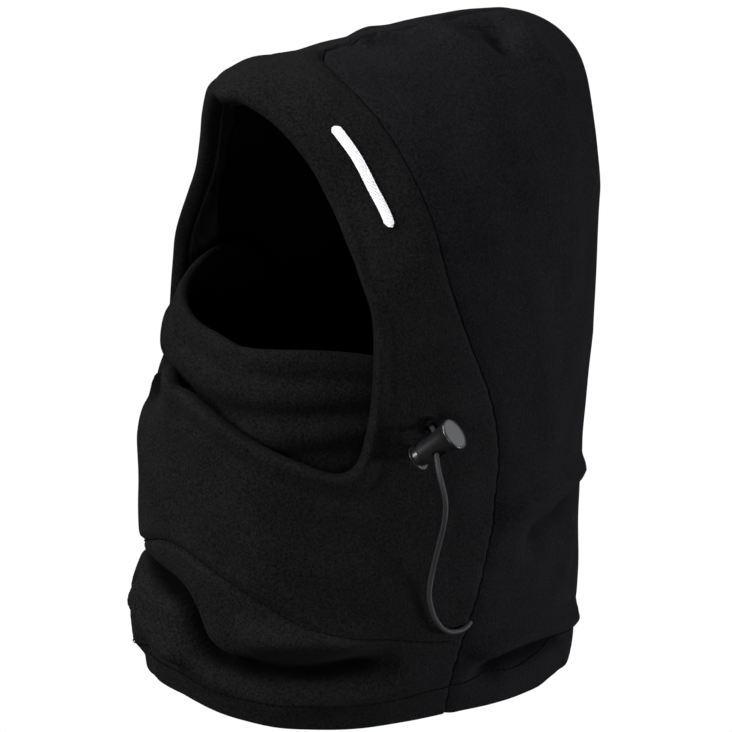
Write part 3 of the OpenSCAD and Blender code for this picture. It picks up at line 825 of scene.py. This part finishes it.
def mask_lift(p, from_top, to_foot, w):
    q = p.reshape(-1, 3)
    total = np.zeros(len(q))
    for points, rise, width in MASK_FOLDS:
        s = along([(a, b) for a, b in points], np.linspace(0, 1, 20))
        line = mask(s[:, 1] * 4 / 6, (1 - s[:, 0]) / 2)
        far, place = distance_to(line, q)
        fade = smooth(np.minimum(place, 1 - place) / 0.2 + 0.2)
        total += rise * np.exp(-((far / width) ** 2)) * fade
    x, _, z = q.T
    total += 0.5 * np.sin(x / 14 + 1.3 * np.sin(z / 17)) * np.sin(z / 12 + x / 40)
    total = total.reshape(p.shape[:-1])
    creased = np.minimum(raised(p * (1.09, 1.09, 1), FOLDS) + 4, 0)
    hemmed = 1.0 * np.exp(-(((from_top - 6) / 5) ** 2)) - 0.8 * np.exp(-(((from_top - 14) / 2.5) ** 2))
    return (total + hemmed) * smooth(to_foot / 30) + creased - 0.3


def mask_depth(from_top, to_foot, w):
    return 4.0 + 1.2 * np.exp(-(((from_top - 5) / 6) ** 2)) - 1.6 * smooth((60 - to_foot) / 40)


face_mask = cloth("pull_up_face_mask", mask, int(70 * many), int(220 * many), False, 0, mask_depth,
                  "mask_fleece", mask_lift, start_roll=2.2, end_roll=0.8)
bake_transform(face_mask)
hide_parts("mask_apron", "face_mask", "mask_top_hem")


# ---------------------------------------------------------------- stitching and embroidery
def surface_line(angles, levels):
    """Points and normals of the folded outer cloth along a line of angles and levels."""
    e = 0.004
    du = hood(angles + 90 * e, levels) - hood(angles - 90 * e, levels)
    dw = hood(angles, levels - e) - hood(angles, levels + e)
    normal = unit(np.cross(dw, du))
    p = hood(angles, levels)
    return p + normal * relief(p)[:, None], normal


angles = np.linspace(-180, 180, 900)
hem_rows = stitches("hem_stitches", surface_line(angles, HEM_LEVEL + 0 * angles), "thread")
piece(hem_rows, "hood", "thread", "hem_stitching")
s = np.linspace(-1, 1, 500)
neck = along(NECK_LINE, np.abs(s))
neck_rows = stitches("neck_stitches", surface_line(np.sign(s) * neck[:, 0], neck[:, 1]), "thread")
piece(neck_rows, "hood", "thread", "neck_stitching")


def satin_bar():
    """A plain bar of satin stitch: many threads laid side by side across its line."""
    count = 84
    middle = along(BAR_LINE, np.linspace(0, 1, count))
    centre, normal = surface_line(middle[:, 0], middle[:, 1])
    run = unit(np.gradient(centre, axis=0))
    across = unit(np.cross(normal, run))
    vertices, faces = [], []
    for k in range(count):
        end = min(k, count - 1 - k) / (count - 1)
        half_width = 2.4 * math.sqrt(min(1.0, end / 0.045 + 0.25))
        t = np.linspace(-1, 1, 9)
        height = 2.3 + 0.85 * np.sqrt(np.maximum(1 - t**2, 0))
        line = centre[k] + across[k] * (t * half_width)[:, None] + normal[k] * height[:, None]
        line = line + run[k] * (0.35 * t)[:, None]
        first = len(vertices)
        for p in line:
            for j in range(6):
                angle = math.pi * j / 3
                vertices.append(p + 0.34 * (math.cos(angle) * run[k] + math.sin(angle) * normal[k]))
        for i in range(len(line) - 1):
            for j in range(6):
                a, b = first + i * 6 + j, first + i * 6 + (j + 1) % 6
                faces.append((a, b, b + 6, a + 6))
    return new_object("satin_stitch_bar", vertices, faces, "embroidery")


bar = satin_bar()
piece(bar, "hood", "embroidery", "embroidered_bar")

# ---------------------------------------------------------------- cord locks
LOCKS = {
    "left": ((104.6, -39.6, -171.4), (52, -38, -103)),
    "right": ((-106, -27, -176.3), (45, 16, 58)),
}


def turned(name, profile, material, steps=96):
    """A turned solid about +Y from a profile of (radius, y) in mm."""
    mesh = bpy.data.meshes.new(name)
    shape = bmesh.new()
    ring = [shape.verts.new((r * MM, y * MM, 0)) for r, y in profile]
    edges = [shape.edges.new((ring[i], ring[(i + 1) % len(ring)])) for i in range(len(ring))]
    bmesh.ops.spin(shape, geom=ring + edges, cent=(0, 0, 0), axis=(0, 1, 0), angle=2 * math.pi, steps=steps,
                   use_duplicate=False)
    bmesh.ops.remove_doubles(shape, verts=shape.verts, dist=1e-6)
    bmesh.ops.dissolve_degenerate(shape, edges=shape.edges, dist=1e-7)
    bmesh.ops.recalc_face_normals(shape, faces=shape.faces)
    shape.to_mesh(mesh)
    shape.free()
    obj = bpy.data.objects.new(name, mesh)
    bpy.context.scene.collection.objects.link(obj)
    mesh.materials.append(MATERIALS[material])
    return obj


def slot_cutter(front_end, back_end, half_height=2.4):
    """A rounded bar through the lock along Z that cuts the hole for the cord."""
    mesh = bpy.data.meshes.new("cutter")
    shape = bmesh.new()
    outline = []
    for start, middle in ((0, back_end - half_height), (math.pi, front_end + half_height)):
        for k in range(33):
            angle = start + math.pi * k / 32
            outline.append((half_height * math.cos(angle), middle + half_height * math.sin(angle)))
    low = [shape.verts.new((x * MM, y * MM, -0.015)) for x, y in outline]
    high = [shape.verts.new((x * MM, y * MM, 0.015)) for x, y in outline]
    shape.faces.new(low[::-1])
    shape.faces.new(high)
    for i in range(len(outline)):
        j = (i + 1) % len(outline)
        shape.faces.new((low[i], low[j], high[j], high[i]))
    bmesh.ops.remove_doubles(shape, verts=shape.verts, dist=1e-7)
    bmesh.ops.recalc_face_normals(shape, faces=shape.faces)
    shape.to_mesh(mesh)
    shape.free()
    obj = bpy.data.objects.new("cutter", mesh)
    bpy.context.scene.collection.objects.link(obj)
    return obj


def cut_and_soften(obj, cutter, width):
    hole = obj.modifiers.new("hole", "BOOLEAN")
    hole.object = cutter
    hole.operation = "DIFFERENCE"
    hole.solver = "EXACT"
    edge = obj.modifiers.new("edge", "BEVEL")
    edge.width = width * MM
    edge.segments = 3
    edge.limit_method = "ANGLE"
    edge.angle_limit = math.radians(38)
    bpy.context.view_layer.update()
    result = bpy.data.meshes.new_from_object(obj.evaluated_get(bpy.context.evaluated_depsgraph_get()))
    obj.modifiers.clear()
    obj.data = result
    result.polygons.foreach_set("use_smooth", [True] * len(result.polygons))
    result.set_sharp_from_angle(angle=math.radians(40))
    bpy.data.objects.remove(cutter)
    return obj


def rounded(points, radius, steps=5):
    """A profile with the marked corners rounded: points are (radius, y, round?)."""
    result = []
    n = len(points)
    for i, (x, y, soft) in enumerate(points):
        here = np.array((x, y), float)
        if not soft:
            result.append(tuple(here))
            continue
        before = np.array(points[i - 1][:2], float)
        after = np.array(points[(i + 1) % n][:2], float)
        r = min(radius, np.linalg.norm(before - here) / 2.2, np.linalg.norm(after - here) / 2.2)
        a, b = here + unit(before - here) * r, here + unit(after - here) * r
        for t in np.linspace(0, 1, steps):
            result.append(tuple((1 - t) ** 2 * a + 2 * t * (1 - t) * here + t * t * b))
    return result


BARREL = [
    (4.9, -8.4, True), (5.5, -8.4, True), (5.75, -7.6, True), (6.1, 0, False), (6.6, 5, False),
    (7.3, 8.6, True), (7.85, 10.6, True), (8.1, 11.5, True), (7.5, 12.3, True), (6.9, 11.95, True),
    (0, 12.15, False), (0, 8.6, False), (4.9, 8.6, False),
]
PLUNGER = [
    (0, -13.5, False), (4.8, -13.1, True), (6.2, -12.5, True), (6.4, -12, True), (6.4, -11.6, True),
    (4.82, -11.6, False), (4.82, 3.4, False), (0, 3.4, False),
]


def lock(side):
    at, turn = LOCKS[side]
    place = Matrix.Translation(Vector(at) * MM) @ Euler([math.radians(v) for v in turn]).to_matrix().to_4x4()
    barrel = turned(side + "_barrel_shell", rounded(BARREL, 0.5), "lock_plastic")
    cut_and_soften(barrel, slot_cutter(-1.9, 5), 0.28)
    plunger = turned(side + "_push_plunger", rounded(PLUNGER, 0.4), "plunger_plastic")
    cut_and_soften(plunger, slot_cutter(-6.5, 1.35), 0.2)
    turns, steps = 4, 4 * 40
    t = np.linspace(0, 1, steps + 1)
    angle = 2 * math.pi * turns * t
    coil = np.stack([3.6 * np.cos(angle), mix(3.7, 8.3, t), 3.6 * np.sin(angle)], 1)
    spring = tube(side + "_coil_spring", coil, 0.25, "spring_steel", 10)
    for obj in (barrel, plunger, spring):
        obj.data.transform(place)
    piece(barrel, side + "_lock", "lock_plastic", side + "_lock_barrel")
    piece(plunger, side + "_plunger", "plunger_plastic", side + "_lock_plunger")
    piece(spring, side + "_lock", "spring_steel", side + "_lock_spring")
    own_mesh(spring)
    return barrel, plunger, spring


locks = lock("left") + lock("right")
for side in ("left", "right"):
    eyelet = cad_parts[side + "_eyelet"]
    eyelet.data.materials.clear()
    eyelet.data.materials.append(MATERIALS["eyelet_metal"])


# ---------------------------------------------------------------- floor and light
def seen_white(tree, strength, lit):
    """White where the camera looks straight at it, and a strength of lit as a light on the object."""
    path = tree.nodes.new("ShaderNodeLightPath")
    scale = tree.nodes.new("ShaderNodeMapRange")
    scale.inputs["To Min"].default_value = lit
    scale.inputs["To Max"].default_value = 1.02
    tree.links.new(path.outputs["Is Camera Ray"], scale.inputs["Value"])
    tree.links.new(scale.outputs["Result"], strength)


floor_mesh = bpy.data.meshes.new("floor")
floor_mesh.from_pydata([(-6, -6, 0), (6, -6, 0), (6, 6, 0), (-6, 6, 0)], [], [(0, 1, 2, 3)])
floor = bpy.data.objects.new("floor", floor_mesh)
floor.location.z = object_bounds()[0][2] - 0.001
bpy.context.scene.collection.objects.link(floor)
white = bpy.data.materials.new("white_floor")
white.use_nodes = True
shader = white.node_tree.nodes["Principled BSDF"]
shader.inputs["Base Color"].default_value = (0, 0, 0, 1)
shader.inputs["Roughness"].default_value = 1
shader.inputs["Specular IOR Level"].default_value = 0
shader.inputs["Emission Color"].default_value = (1, 1, 1, 1)
seen_white(white.node_tree, shader.inputs["Emission Strength"], 0.08)
floor_mesh.materials.append(white)

world = bpy.data.worlds.new("studio")
world.use_nodes = True
world.node_tree.nodes["Background"].inputs["Color"].default_value = (1, 1, 1, 1)
seen_white(world.node_tree, world.node_tree.nodes["Background"].inputs["Strength"], 0.35)
bpy.context.scene.world = world
bpy.context.scene.view_settings.view_transform = "Standard"


def area_light(name, at, aim, size, power, colour=(1, 1, 1)):
    data = bpy.data.lights.new(name, "AREA")
    data.shape = "RECTANGLE"
    data.size, data.size_y = size
    data.energy = power
    data.color = colour
    obj = bpy.data.objects.new(name, data)
    obj.location = at
    obj.rotation_euler = (Vector(aim) - Vector(at)).to_track_quat("-Z", "Y").to_euler()
    bpy.context.scene.collection.objects.link(obj)
    return obj


middle = (0, 0, -0.16)
area_light("key", (-0.35, -1.55, 0.8), middle, (0.55, 0.6), 44)
area_light("side", (1.4, 0.8, -0.3), middle, (0.4, 0.5), 5, (0.92, 0.93, 1))
area_light("nape", (0.6, 0.55, -0.36), (0.09, 0.09, -0.31), (0.2, 0.2), 18, (0.92, 0.93, 1))
area_light("back", (0, 1.5, 0.38), middle, (0.8, 0.8), 2.8, (0.92, 0.93, 1))
area_light("top", (-0.3, -0.35, 1.25), middle, (0.8, 0.8), 19)
area_light("front", (1.35, -1.15, -0.1), middle, (0.5, 0.5), 12)
